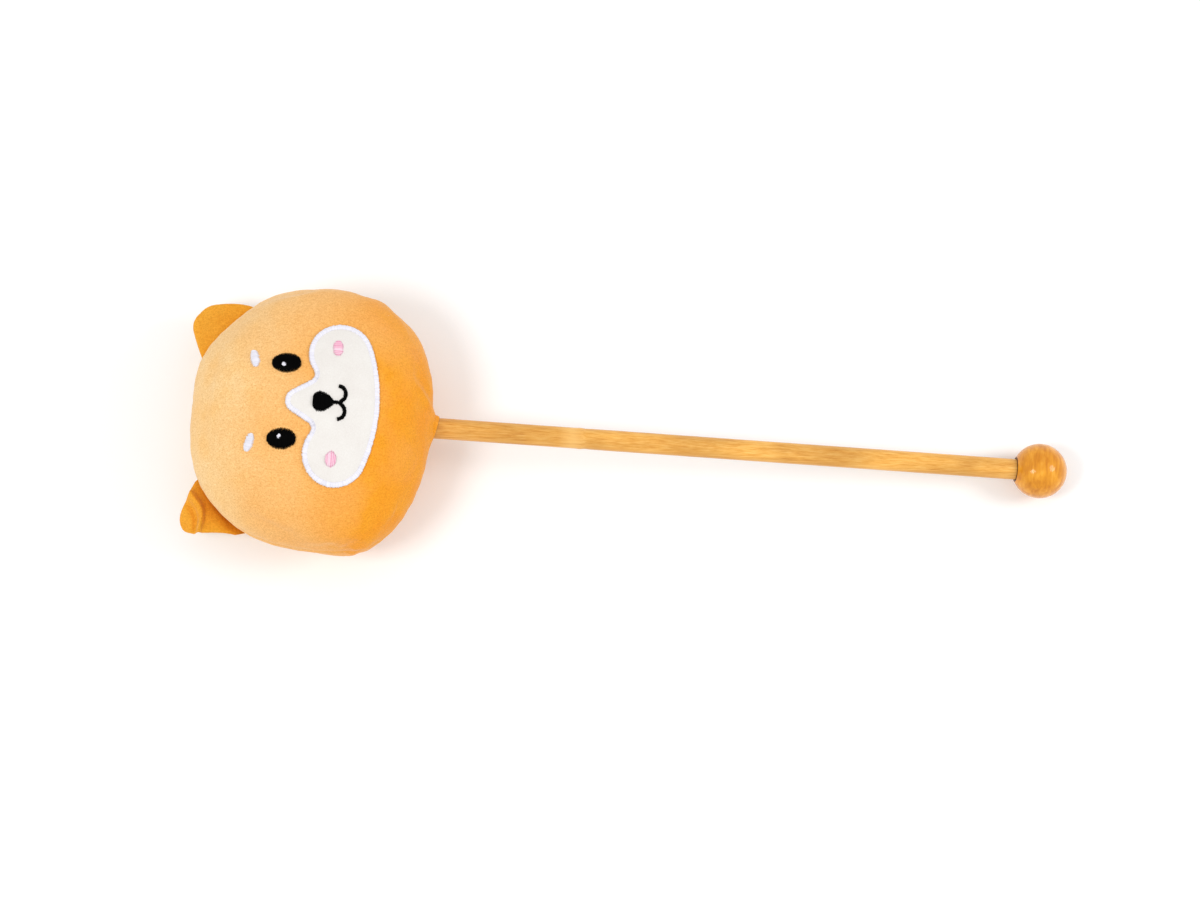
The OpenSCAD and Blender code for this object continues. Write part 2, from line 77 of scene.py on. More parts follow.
def to_head(points):
    d = np.asarray(points, float) - CENTRE
    return np.stack([d @ AXIS_U, d @ AXIS_V, d @ AXIS_W], axis=-1)


def vertices(obj):
    co = np.zeros(len(obj.data.vertices) * 3, np.float32)
    obj.data.vertices.foreach_get("co", co)
    return co.reshape(-1, 3).astype(float)


def set_vertices(obj, co):
    obj.data.vertices.foreach_set("co", np.asarray(co, np.float32).ravel())
    obj.data.update()


def head_box(node):
    """Lowest and highest corner of a CAD node in the head frame."""
    p = to_head(vertices(frame["nodes"][node]))
    return p.min(0), p.max(0)


# The stick's two ends, and where the cane has its joint
STICK_START, STICK_END = (corner[0] for corner in head_box("stick"))
KNOT = STICK_END - (STICK_END - STICK_START) * 0.64


# ---------------------------------------------------------------- meshes


def link_mesh(name, mesh):
    """A new object in the scene that shows the mesh."""
    obj = bpy.data.objects.new(name, mesh)
    bpy.context.scene.collection.objects.link(obj)
    return obj


def object_from(name, bm):
    """A new object from an edited mesh, which is freed."""
    mesh = bpy.data.meshes.new(name)
    bm.to_mesh(mesh)
    bm.free()
    return link_mesh(name, mesh)


def new_object(name, verts, faces, smooth=True):
    mesh = bpy.data.meshes.new(name)
    mesh.from_pydata([tuple(v) for v in verts], [], [tuple(f) for f in faces])
    mesh.validate()
    obj = link_mesh(name, mesh)
    if smooth:
        mesh.shade_smooth()
    return obj


def apply_modifiers(obj):
    """Makes the object's mesh what its modifiers show."""
    graph = bpy.context.evaluated_depsgraph_get()
    shown = bpy.data.meshes.new_from_object(obj.evaluated_get(graph))
    obj.modifiers.clear()
    obj.data = shown
    shown.shade_smooth()


def subdivide(obj, levels):
    modifier = obj.modifiers.new("subdivision", "SUBSURF")
    modifier.levels = levels
    modifier.render_levels = levels
    apply_modifiers(obj)


def voxel_remesh(obj, size):
    modifier = obj.modifiers.new("remesh", "REMESH")
    modifier.mode = "VOXEL"
    modifier.voxel_size = size
    apply_modifiers(obj)


def normals(obj):
    n = np.zeros(len(obj.data.vertices) * 3, np.float32)
    obj.data.vertex_normals.foreach_get("vector", n)
    return n.reshape(-1, 3).astype(float)


def hill(x, middle, reach):
    """A smooth hill of height 1 at the middle, which dies away past the reach."""
    return np.exp(-(((x - middle) / reach) ** 2))


def grain(points, size, seed):
    """Smooth noise about -1 to 1, with features of about that size."""
    shift = Vector((seed * 7.3, seed * 3.1, seed * 5.7))
    return np.array([noise.noise(Vector(p) / size + shift) for p in points])


def pile(obj, seed, deep=0.09 * MM, size=1.1 * MM):
    """Uneven short pile: moves the surface a little along its normals."""
    co = vertices(obj)
    set_vertices(obj, co + normals(obj) * (grain(co, size, seed) * deep)[:, None])


def grid_faces(rows, columns, closed):
    """Faces of a grid of points, listed row by row, whose columns may close on themselves."""
    faces = []
    last = columns if closed else columns - 1
    for r in range(rows - 1):
        for c in range(last):
            n = (c + 1) % columns
            low, high = r * columns, (r + 1) * columns
            faces.append((low + c, low + n, high + n, high + c))
    return faces


def two_sides(faces, count):
    """The faces, and the same ones turned over, count points further on."""
    return faces + [tuple(count + i for i in reversed(f)) for f in faces]


class Threads:
    """Many short threads in one mesh, each a flattened tube with closed ends."""

    SIDES = 6

    def __init__(self):
        self.verts = []
        self.faces = []

    def add(self, line, up, width, height):
        """A thread along the points line, with the surface's normals up."""
        line, up = np.asarray(line), np.asarray(up)
        along = np.gradient(line, axis=0)
        along /= np.linalg.norm(along, axis=1)[:, None]
        side = np.cross(up, along)
        side /= np.linalg.norm(side, axis=1)[:, None]
        turn = np.arange(self.SIDES) * 2 * math.pi / self.SIDES
        taper = np.ones(len(line))
        taper[0] = taper[-1] = 0.35
        across = np.cos(turn)[None, :, None] * side[:, None, :] * width / 2
        above = np.sin(turn)[None, :, None] * up[:, None, :] * height / 2
        ring = line[:, None, :] + (across + above) * taper[:, None, None]
        start = len(self.verts)
        self.verts += list(ring.reshape(-1, 3))
        count = len(line)
        self.faces += [
            tuple(start + i for i in f) for f in grid_faces(count, self.SIDES, True)
        ]
        self.faces.append(tuple(start + i for i in reversed(range(self.SIDES))))
        last = start + (count - 1) * self.SIDES
        self.faces.append(tuple(last + i for i in range(self.SIDES)))

    def make(self, name):
        return new_object(name, self.verts, self.faces)


# ---------------------------------------------------------------- materials


class Nodes:
    """A material's node tree, with short calls to add to it."""

    def __init__(self, name):
        self.material = bpy.data.materials.new(name)
        self.material.use_nodes = True
        self.tree = self.material.node_tree
        self.shader = self.tree.nodes["Principled BSDF"]
        self.place = self.tree.nodes.new("ShaderNodeTexCoord").outputs["Object"]

    def link(self, source, target):
        self.tree.links.new(source, target)

    def set(self, **values):
        for name, value in values.items():
            self.shader.inputs[name.replace("_", " ")].default_value = value

    def scaled(self, scale):
        """The object's coordinates, scaled by another factor on each axis."""
        mapping = self.tree.nodes.new("ShaderNodeMapping")
        mapping.inputs["Scale"].default_value = scale
        self.link(self.place, mapping.inputs["Vector"])
        return mapping.outputs["Vector"]

    def noise(self, size, detail=2.0, rough=0.5, vector=None, distortion=0.0):
        node = self.tree.nodes.new("ShaderNodeTexNoise")
        node.inputs["Scale"].default_value = 1 / size
        node.inputs["Detail"].default_value = detail
        node.inputs["Roughness"].default_value = rough
        node.inputs["Distortion"].default_value = distortion
        self.link(vector or self.place, node.inputs["Vector"])
        return node.outputs["Fac"]

    def ramp(self, source, stops):
        node = self.tree.nodes.new("ShaderNodeValToRGB")
        elements = node.color_ramp.elements
        while len(elements) < len(stops):
            elements.new(0.5)
        for element, (position, colour) in zip(elements, stops):
            element.position = position
            element.color = (*colour, 1.0)
        self.link(source, node.inputs["Fac"])
        return node.outputs["Color"]

    def math(self, operation, a, b):
        node = self.tree.nodes.new("ShaderNodeMath")
        node.operation = operation
        for socket, value in zip(node.inputs, (a, b)):
            if isinstance(value, (int, float)):
                socket.default_value = value
            else:
                self.link(value, socket)
        return node.outputs[0]

    def axis(self, name):
        node = self.tree.nodes.new("ShaderNodeSeparateXYZ")
        self.link(self.place, node.inputs[0])
        return node.outputs[name]

    def spread(self, source, low, high):
        """source, so that low becomes 0 and high 1."""
        node = self.tree.nodes.new("ShaderNodeMapRange")
        node.inputs["From Min"].default_value = low
        node.inputs["From Max"].default_value = high
        self.link(source, node.inputs["Value"])
        return node.outputs["Result"]

    def mix(self, factor, a, b, blend="MIX"):
        node = self.tree.nodes.new("ShaderNodeMix")
        node.data_type = "RGBA"
        node.blend_type = blend
        for socket, value in ((0, factor), (6, a), (7, b)):
            if isinstance(value, (int, float)):
                node.inputs[socket].default_value = value
            elif isinstance(value, tuple):
                node.inputs[socket].default_value = (*value, 1.0)
            else:
                self.link(value, node.inputs[socket])
        return node.outputs[2]

    def colour(self, source):
        self.link(source, self.shader.inputs["Base Color"])

    def times(self, a, b):
        return self.mix(1.0, a, b, "MULTIPLY")

    def rough(self, source, low, high):
        """Roughness that follows source, from the value low at 0.3 to high at 0.7."""
        stops = [(0.3, (low,) * 3), (0.7, (high,) * 3)]
        self.link(self.ramp(source, stops), self.shader.inputs["Roughness"])

    def bump(self, layers):
        """Bumps, each (height, strength, distance), one on top of the other."""
        before = None
        for height, strength, distance in layers:
            node = self.tree.nodes.new("ShaderNodeBump")
            node.inputs["Strength"].default_value = strength
            node.inputs["Distance"].default_value = distance
            self.link(height, node.inputs["Height"])
            if before:
                self.link(before, node.inputs["Normal"])
            before = node.outputs["Normal"]
        self.link(before, self.shader.inputs["Normal"])


WHITE = (1.0, 1.0, 1.0)

# Nap that is stroked one way and another, in patches
NAP_SHADES = [(0.3, (1.0, 0.91, 0.76)), (0.62, WHITE)]

# How much paler the plush gets towards the dog's left, partly the nap's colour and partly painted light, and how
# uneven the change of colour is
NAP_AND_LIGHT_SLANT, NAP_AND_LIGHT_UNEVEN = 0.16, 0.7

# Half sizes of the head's outline, at which painted shade darkens the ears where they meet the head
OUTLINE_HALF = (("X", 64 * MM), ("Y", 60 * MM))
# Stops of the painted shade at the ears' roots, from dark by the head to clear
ROOT_SHADOW_STOPS = [(0.2, (0.60, 0.40, 0.2)), (0.34, (0.88, 0.76, 0.6)), (0.6, WHITE)]


def painted_root_shadow(m):
    """Painted shade on the ears, darkest at the head's outline, which is an oval with rather straight sides, and
    clear outside.
    """
    parts = []
    for axis, half in OUTLINE_HALF:
        share = m.math("ABSOLUTE", m.math("DIVIDE", m.axis(axis), half), 0)
        parts.append(m.math("POWER", share, 2.4))
    return m.ramp(m.spread(m.math("ADD", *parts), 0.85, 1.45), ROOT_SHADOW_STOPS)


def plush_material(name, pale, deep, start, end, root=False):
    """Short plush that goes from pale at x = start to deep at x = end: partly the nap's own colour, partly painted
    light that falls brighter on the crown's side.

    With root it gets painted shade close to the head's outline, where the root of an ear lies in the head's
    shadow.
    """
    m = Nodes(name)
    # Pale to deep across the plush: partly the nap's colour, partly painted light on the crown's side
    aslant = m.math("SUBTRACT", m.axis("X"), m.math("MULTIPLY", m.axis("Y"), NAP_AND_LIGHT_SLANT))
    along = m.spread(aslant, start, end)
    soft = m.math("SUBTRACT", m.noise(22 * MM, 3.0), 0.5)
    patch = m.math("ADD", along, m.math("MULTIPLY", soft, NAP_AND_LIGHT_UNEVEN))
    stroked = m.ramp(m.noise(11 * MM, 2.0, 0.5), NAP_SHADES)
    base = m.times(m.ramp(patch, [(0.0, pale), (1.0, deep)]), stroked)
    # Painted shade at the root of an ear, next to the head
    if root:
        base = m.times(base, painted_root_shadow(m))
    fibre = m.noise(0.6 * MM, 3.0, 0.65)
    tuft = m.noise(1.0, 2.0, 0.5, m.scaled((620, 1300, 1300)))
    shade = m.ramp(fibre, [(0.3, (0.78, 0.69, 0.56)), (0.7, (1.05, 1.05, 1.04))])
    lean = m.ramp(tuft, [(0.32, (0.93, 0.88, 0.81)), (0.68, (1.02, 1.02, 1.02))])
    m.colour(m.times(m.times(base, shade), lean))
    m.rough(fibre, 0.95, 0.78)
    m.bump([(tuft, 0.25, 0.4 * MM), (fibre, 0.6, 0.35 * MM)])
    m.set(Sheen_Weight=0.45, Sheen_Roughness=0.33, Specular_IOR_Level=0.05)
    m.shader.inputs["Sheen Tint"].default_value = (1.0, 0.88, 0.7, 1.0)
    return m.material


def thread_material(name, dark, light, gloss=0.45, shine=0.4):
    """Satin thread, each stitch a little different."""
    m = Nodes(name)
    each = m.tree.nodes.new("ShaderNodeNewGeometry").outputs["Random Per Island"]
    base = m.ramp(each, [(0.0, dark), (1.0, light)])
    twist = m.noise(0.25 * MM, 2.0)
    fleck = m.ramp(twist, [(0.35, (0.9, 0.9, 0.9)), (0.65, WHITE)])
    m.colour(m.times(base, fleck))
    m.rough(twist, gloss + 0.12, gloss - 0.05)
    m.bump([(twist, 0.3, 0.08 * MM)])
    m.set(Specular_IOR_Level=shine)
    return m.material


def cream_material():
    m = Nodes("cream_pile")
    soft = m.noise(12 * MM, 3.0)
    fibre = m.noise(0.5 * MM, 3.0, 0.6)
    base = m.ramp(soft, [(0.3, (0.75, 0.72, 0.69)), (0.7, (0.79, 0.77, 0.74))])
    shade = m.ramp(fibre, [(0.3, (0.93, 0.92, 0.91)), (0.7, WHITE)])
    m.colour(m.times(base, shade))
    m.rough(fibre, 0.95, 0.8)
    m.bump([(fibre, 0.45, 0.25 * MM)])
    m.set(Sheen_Weight=0.25, Sheen_Roughness=0.5, Specular_IOR_Level=0.15)
    return m.material


def fibre_material():
    m = Nodes("fill_fibre")
    tangle = m.noise(2.5 * MM, 6.0, 0.7, distortion=2.0)
    m.colour(m.ramp(tangle, [(0.3, (0.7, 0.7, 0.68)), (0.7, (0.86, 0.86, 0.84))]))
    m.rough(tangle, 0.95, 0.8)
    m.bump([(tangle, 0.7, 1.0 * MM)])
    return m.material


def bamboo_material():
    """Split bamboo: fine lengthwise fibres in pale and golden streaks."""
    m = Nodes("bamboo")
    streak = m.noise(1.0, 5.0, 0.7, m.scaled((7, 1900, 1900)))
    band = m.noise(1.0, 2.0, 0.5, m.scaled((16, 260, 260)))
    patch = m.noise(30 * MM, 2.0)
    base = m.ramp(
        streak,
        [(0.3, (0.58, 0.24, 0.030)), (0.5, (0.78, 0.41, 0.085)), (0.7, (0.90, 0.57, 0.18))],
    )
    wide = m.ramp(band, [(0.35, (0.90, 0.85, 0.78)), (0.65, (1.05, 1.03, 1.0))])
    tone = m.ramp(patch, [(0.35, (0.88, 0.84, 0.78)), (0.65, (1.05, 1.03, 1.0))])
    cane = m.times(m.times(base, wide), tone)
    # The cane's joint has a paler scar on its head side, with ragged ends
    scar_x = float(to_world((KNOT, 0, 0))[0]) - 3 * MM
    off = m.math("ABSOLUTE", m.math("SUBTRACT", m.axis("X"), scar_x), 0)
    ragged = m.math("ADD", off, m.math("MULTIPLY", band, 5 * MM))
    scar = m.math("MULTIPLY", m.spread(ragged, 9 * MM, 3 * MM), 0.4)
    m.colour(m.mix(scar, cane, (0.88, 0.56, 0.20)))
    m.rough(streak, 0.5, 0.36)
    m.bump([(streak, 0.25, 0.15 * MM)])
    m.set(Coat_Weight=0.06, Coat_Roughness=0.3, Specular_IOR_Level=0.3)
    return m.material


def varnished_material():
    """Turned wood under orange varnish."""
    m = Nodes("varnished_wood")
    ring = m.noise(1.0, 3.0, 0.6, m.scaled((520, 70, 300)), 0.5)
    soft = m.noise(6 * MM, 2.0)
    base = m.ramp(
        ring,
        [(0.3, (0.60, 0.215, 0.010)), (0.55, (0.75, 0.31, 0.020)), (0.72, (0.84, 0.40, 0.045))],
    )
    tone = m.ramp(soft, [(0.32, (0.86, 0.76, 0.6)), (0.68, (1.05, 1.06, 1.05))])
    m.colour(m.times(base, tone))
    m.rough(ring, 0.42, 0.3)
    m.bump([(ring, 0.08, 0.1 * MM)])
    m.set(Coat_Weight=0.75, Coat_Roughness=0.06, Coat_IOR=1.36, Specular_IOR_Level=0.1)
    return m.material


def plain_wood_material():
    m = Nodes("plain_wood")
    ring = m.noise(1.0, 3.0, 0.55, m.scaled((60, 500, 350)), 0.5)
    m.colour(m.ramp(ring, [(0.3, (0.45, 0.29, 0.15)), (0.7, (0.62, 0.44, 0.25))]))
    m.rough(ring, 0.75, 0.6)
    m.bump([(ring, 0.2, 0.1 * MM)])
    return m.material


def glue_material():
    m = Nodes("wood_glue")
    cloud = m.noise(1.5 * MM, 3.0)
    m.colour(m.ramp(cloud, [(0.3, (0.05, 0.012, 0.004)), (0.7, (0.13, 0.040, 0.012))]))
    m.rough(cloud, 0.4, 0.25)
    m.bump([(cloud, 0.3, 0.2 * MM)])
    m.set(Specular_IOR_Level=0.12)
    return m.material


# The pale ends are partly painted light on the crown's side, the deep ends partly the plush's own deeper orange
PALE_FACE, DEEP_FACE = (0.96, 0.69, 0.37), (0.91, 0.385, 0.030)
PALE_EAR, DEEP_EAR = (0.93, 0.49, 0.070), (0.90, 0.41, 0.035)

MATERIALS = {
    "plush_face": plush_material("plush_face", PALE_FACE, DEEP_FACE, -0.05, 0.03),
    "plush_back": plush_material("plush_back", PALE_FACE, DEEP_FACE, -0.06, 0.04),
    "plush_ear": plush_material("plush_ear", PALE_EAR, DEEP_EAR, -0.09, -0.04, True),
    "cream_pile": cream_material(),
    "fill_fibre": fibre_material(),
    "white_thread": thread_material("white_thread", (0.74, 0.73, 0.82), (0.86, 0.85, 0.92)),
    "black_thread": thread_material("black_thread", (0.001,) * 3, (0.002,) * 3, 0.55, 0.02),
    "pink_thread": thread_material("pink_thread", (0.80, 0.27, 0.45), (0.95, 0.76, 0.84), 0.5, 0.2),
    "tan_thread": thread_material("tan_thread", (0.50, 0.27, 0.09), (0.62, 0.36, 0.13)),
    "bamboo": bamboo_material(),
    "varnished_wood": varnished_material(),
    "plain_wood": plain_wood_material(),
    "wood_glue": glue_material(),
}


def finish_piece(obj, slot, nodes, body="head"):
    """Gives a piece its material and its place in the table. A blended piece has no body."""
    obj.data.materials.clear()
    obj.data.materials.append(MATERIALS[slot])
    if body:
        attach(obj, body)
    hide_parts(*nodes)


# ---------------------------------------------------------------- head


# The plush panels, and the seam's narrow groove in its shallow hollow
PANEL_THICK = 1.4 * MM
GROOVE_DEEP, GROOVE_WIDE = 0.9 * MM, 1.6 * MM
HOLLOW_DEEP, HOLLOW_WIDE = 0.35 * MM, 6 * MM

# The neck's pleats, and how far and how widely the plush is pulled out there
PLEATS, PLEAT_START = 9, 0.7
NECK_PULL, NECK_REACH = 3.4 * MM, 7 * MM


def hull_of(name, nodes):
    """The closed outer shape round some CAD nodes."""
    bm = bmesh.new()
    for node in nodes:
        bm.from_mesh(frame["nodes"][node].data)
    made = bmesh.ops.convex_hull(bm, input=bm.verts)
    inner = set(made["geom_interior"] + made["geom_unused"])
    bmesh.ops.delete(bm, geom=list(inner), context="VERTS")
    return object_from(name, bm)


def relax(obj, times):
    modifier = obj.modifiers.new("relax", "SMOOTH")
    modifier.factor = 0.5
    modifier.iterations = times
    apply_modifiers(obj)


def stuff(obj, pressure, cap, shrink):
    """Inflates a closed cloth, drawn in along the head's seam, and keeps each point near its start."""
    before = vertices(obj)
    frames, seam_reach = 20, 4 * MM
    seam = obj.vertex_groups.new(name="seam")
    for i, pull in enumerate(hill(to_head(before)[:, 2], 0, seam_reach)):
        seam.add([i], float(pull), "REPLACE")
    cloth = obj.modifiers.new("cloth", "CLOTH")
    s = cloth.settings
    s.quality = 6
    s.mass = 0.2
    s.tension_stiffness = s.compression_stiffness = 12
    s.shear_stiffness = 8
    s.bending_stiffness = 0.4
    s.use_pressure = True
    s.uniform_pressure_force = pressure
    s.shrink_min = 0.0
    s.shrink_max = shrink
    s.vertex_group_shrink = "seam"
    s.effector_weights.gravity = 0
    cloth.collision_settings.use_collision = False
    scene = bpy.context.scene
    for step in range(1, frames + 1):
        scene.frame_set(step)
    apply_modifiers(obj)
    scene.frame_set(1)
    after = vertices(obj)
    move = after - before
    move -= move.mean(0)
    length = np.linalg.norm(move, axis=1)
    keep = np.minimum(1, cap / np.maximum(length, 1e-9))
    set_vertices(obj, before + move * keep[:, None])


def seam_waves(points):
    """Smooth curve of the radius of the head's seam, as weights of waves round the head."""
    near_seam = 3 * MM
    p = to_head(points)
    p = p[np.abs(p[:, 2]) < near_seam]
    angle = np.arctan2(p[:, 1], p[:, 0])
    return np.linalg.lstsq(waves(angle), np.hypot(p[:, 0], p[:, 1]), rcond=None)[0]


def waves(angle):
    """Values of the slow waves round the head at each angle."""
    orders = range(1, 5)
    rows = [np.ones_like(angle)]
    rows += [np.cos(k * angle) for k in orders]
    rows += [np.sin(k * angle) for k in orders]
    return np.stack(rows, axis=1)


# Where hand sewing makes the outline fuller or flatter: angle round the head, reach, amount
UNEVEN = [
    (2.38, 0.28, -2.8 * MM),
    (2.85, 0.2, 0.7 * MM),
    (-2.75, 0.25, 1.0 * MM),
    (1.36, 0.24, -3.0 * MM),
    (1.1, 0.2, -1.2 * MM),
    (0.66, 0.3, 1.2 * MM),
]


# The plush stands this far past the cut outline, and a change of width fades out over this height
PLUSH_RISE, WIDEN_REACH = 0.5 * MM, 24 * MM


def build_head():
    """The closed outer surface of the head, before it is split into panels."""
    head = hull_of("head_form", ["head_front_panel", "head_back_panel"])
    voxel_remesh(head, 3.4 * MM)
    target = seam_waves(vertices(head))
    relax(head, 3)
    stuff(head, pressure=3.0, cap=2.0 * MM, shrink=0.12)
    subdivide(head, 1)
    # The outline stays as cut, but for what hand sewing and stuffing change
    co = vertices(head)
    p = to_head(co)
    angle = np.arctan2(p[:, 1], p[:, 0])
    short = waves(angle) @ (target - seam_waves(co)) + PLUSH_RISE
    for place, reach, amount in UNEVEN:
        short += amount * hill(angle, place, reach)
    grow = short * hill(p[:, 2], 0, WIDEN_REACH) / np.hypot(p[:, 0], p[:, 1])
    p[:, :2] *= 1 + grow[:, None]
    set_vertices(head, to_world(p))
    return head


def seam_groove(p):
    """How deep the seam draws the surface in, with small gathers."""
    around = np.arctan2(p[:, 1], p[:, 0])
    gather = 1 + 0.35 * np.sin(around * 46 + 2 * np.sin(around * 5))
    groove = GROOVE_DEEP * hill(p[:, 2], 0, GROOVE_WIDE)
    return groove + HOLLOW_DEEP * hill(p[:, 2], 0, HOLLOW_WIDE) * gather


def neck_pull(p):
    """How far the plush is drawn out along the stick, in pleats."""
    radius = np.hypot(p[:, 1], p[:, 2])
    turn = np.arctan2(p[:, 2], p[:, 1])
    near = np.where(p[:, 0] > 0, hill(radius, 0, NECK_REACH), 0)
    pleat = np.cos(turn * PLEATS + PLEAT_START) * np.clip(radius / (6 * MM), 0, 1)
    return NECK_PULL * near * (1 + 0.16 * pleat)


def chin_fold(p):
    """Height of the fold that runs aslant from the neck up the chin, on the dog's left."""
    side, back = p[:, 1] - 5 * MM, 44 * MM - p[:, 0]
    across = side * 0.72 - back * 0.69
    down = side * 0.69 + back * 0.72
    reach = hill(down, 7 * MM, 7 * MM) * (p[:, 2] > 0)
    fold = hill(across, 0, 1.7 * MM) - 0.8 * hill(across, 3.6 * MM, 1.8 * MM)
    return fold * reach * 1.2 * MM


def crown_dart(p):
    """Depth of the short dart in the crown."""
    dart = hill(p[:, 1], 3.4 * MM, 0.7 * MM) * (p[:, 0] < 0)
    dart *= np.clip((14 * MM - np.abs(p[:, 2])) / (9 * MM), 0, 1)
    return dart * 0.45 * MM


def shape_head(head):
    """Draws the surface in at the seam and out to the stick, and presses it flat on the table."""
    co, out = vertices(head), normals(head)
    co = co - out * seam_groove(to_head(co))[:, None]
    p = to_head(co)
    # The chin is a little fuller on the dog's left
    fuller = 1.0 * MM * np.clip(p[:, 0] / (20 * MM), 0, 1) * hill(p[:, 1], 15 * MM, 10 * MM)
    p[:, 0] += neck_pull(p)
    p[:, 0] += fuller
    co = to_world(p)
    co += out * chin_fold(p)[:, None]
    co -= out * crown_dart(p)[:, None]
    # A few soft dents of a hand-stuffed head
    co += out * (grain(co, 26 * MM, 3) * 0.55 * MM)[:, None]
    co[:, 2] = np.maximum(co[:, 2], 0.0)
    set_vertices(head, co)


def panel(head, name, side):
    """One of the head's two panels, as plush of some thickness."""
    bm = bmesh.new()
    bm.from_mesh(head.data)
    bmesh.ops.bisect_plane(
        bm,
        geom=bm.verts[:] + bm.edges[:] + bm.faces[:],
        plane_co=Vector(CENTRE),
        plane_no=Vector(AXIS_W) * -side,
        clear_outer=True,
    )
    obj = object_from(name, bm)
    subdivide(obj, 1)
    pile(obj, 5 + side)
    co = vertices(obj)
    co[:, 2] = np.maximum(co[:, 2], 0.0)
    set_vertices(obj, co)
    thick = obj.modifiers.new("thick", "SOLIDIFY")
    thick.thickness = PANEL_THICK
    thick.offset = -1
    apply_modifiers(obj)
    return obj


# A height above the whole object, and the share of a thread's lean that is each point's own
ABOVE_ALL = 0.2
OWN_LEAN = 0.25


class Surface:
    """Finds the plush under a point of the face."""

    def __init__(self, obj):
        graph = bpy.context.evaluated_depsgraph_get()
        self.tree = BVHTree.FromObject(obj, graph)

    def at(self, uv, lift):
        """Points lift above the face at the places uv, and the surface's normals there."""
        points, ups = [], []
        for u, v in np.atleast_2d(uv):
            start = Vector(to_world((u, v, ABOVE_ALL)))
            hit, normal, _, _ = self.tree.ray_cast(start, Vector(-AXIS_W))
            points.append(np.array(hit))
            ups.append(np.array(normal))
        points, ups = np.array(points), np.array(ups)
        smooth = ups.mean(0) if len(ups) > 1 else ups[0]
        ups = ups * OWN_LEAN + smooth * (1 - OWN_LEAN)
        ups /= np.linalg.norm(ups, axis=1)[:, None]
        lift = np.broadcast_to(np.asarray(lift, float), len(points))
        return points + ups * lift[:, None], ups


# ---------------------------------------------------------------- embroidery


def outline_of(node, middle, at, down, reach):
    """Outline of a CAD node as it is seen along down, as points round the middle."""
    bm = bmesh.new()
    bm.from_mesh(frame["nodes"][node].data)
    tree = BVHTree.FromBMesh(bm)
    bm.free()

    def meets(way, radius):
        place = middle + way * radius
        start = at(np.array([place[0], place[1], ABOVE_ALL]))
        return tree.ray_cast(Vector(start), Vector(down))[0] is not None

    outline = []
    step = 0.5 * MM
    for angle in np.linspace(-math.pi, math.pi, 720, endpoint=False):
        way = np.array([math.cos(angle), math.sin(angle)])
        outside = reach
        while outside > step and not meets(way, outside - step):
            outside -= step
        inside = outside - step
        for _ in range(6):
            radius = (inside + outside) / 2
            if meets(way, radius):
                inside = radius
            else:
                outside = radius
        outline.append(middle + way * inside)
    return np.array(outline)


def resample(points, spacing):
    """A closed line's points again, spacing apart, with the outward normals."""
    closed = np.vstack([points, points[:1]])
    step = np.linalg.norm(np.diff(closed, axis=0), axis=1)
    along = np.concatenate([[0], np.cumsum(step)])
    count = int(along[-1] / spacing)
    at = np.arange(count) * along[-1] / count
    line = np.stack([np.interp(at, along, closed[:, k]) for k in (0, 1)], axis=1)
    for _ in range(3):
        line = (np.roll(line, 1, 0) + 2 * line + np.roll(line, -1, 0)) / 4
    tangent = np.roll(line, -1, 0) - np.roll(line, 1, 0)
    tangent /= np.linalg.norm(tangent, axis=1)[:, None]
    return line, np.stack([tangent[:, 1], -tangent[:, 0]], axis=1)


# Satin stitches: how far apart they lie, their width and height, and how deep their ends sink
SPACING = 0.34 * MM
THREAD_W, THREAD_H = SPACING * 1.25, 0.32 * MM
SINK = 0.25 * MM


def stitch(threads, surface, a, b, lift, crown, width=THREAD_W, height=THREAD_H):
    """One satin stitch from a to b, dipping into the fabric at both ends."""
    t = np.linspace(0, 1, 7)
    uv = np.asarray(a) * (1 - t)[:, None] + np.asarray(b) * t[:, None]
    rise = lift + crown * np.sqrt(np.clip(1 - (2 * t - 1) ** 2, 0, 1))
    rise[0] = rise[-1] = lift - SINK
    line, up = surface.at(uv, rise)
    threads.add(line, up, width, height)


# A filled shape has no shorter stitch than this, and those under the other length rise less
SHORTEST, FULL_RISE = 0.5 * MM, 4 * MM


def satin_fill(name, surface, slot, node, chord, low, high, lift, crown, rng):
    """Fills a shape with stitches side by side. chord(s) gives the two ends of the one at s."""
    threads = Threads()
    count = max(3, int((high - low) / SPACING))
    for i in range(count):
        s = low + (high - low) * (i + 0.5) / count
        a, b = chord(s)
        a, b = np.array(a, float), np.array(b, float)
        d = b - a
        length = np.linalg.norm(d)
        if length < SHORTEST:
            continue
        d /= length
        a -= d * rng.uniform(-0.1, 0.4) * MM
        b += d * rng.uniform(-0.1, 0.4) * MM
        share = min(1.0, length / FULL_RISE)
        stitch(threads, surface, a, b, lift, crown * share)
    finish_piece(threads.make(name), slot, [node])


def ellipse_chords(node, across, grow, shift):
    """Ends of an oval CAD mark's chords, across its long axis, or else along it.

    The mark is wider by the factor grow and longer by half as much, and lies shift nearer the chin.
    """
    p = to_head(vertices(frame["nodes"][node]))[:, :2]
    middle = (p.min(0) + p.max(0)) / 2
    p = p - middle
    turns = np.radians(np.arange(0, 180, 2))
    ways = np.stack([np.cos(turns), np.sin(turns)], axis=1)
    spans = np.abs(p @ ways.T).max(0)
    k = int(spans.argmax())
    middle = middle + np.array([shift, 0])
    long_way, long_half = ways[k], spans[k] * (1 + (grow - 1) / 2)
    short_way, short_half = np.array([-long_way[1], long_way[0]]), spans.min() * grow
    if across:
        rank, rank_half, chord, chord_half = long_way, long_half, short_way, short_half
    else:
        rank, rank_half, chord, chord_half = short_way, short_half, long_way, long_half

    def ends(x):
        half = chord_half * math.sqrt(max(0, 1 - (x / rank_half) ** 2))
        start = middle + rank * x
        return start - chord * half, start + chord * half

    return ends, -rank_half * 0.98, rank_half * 0.98


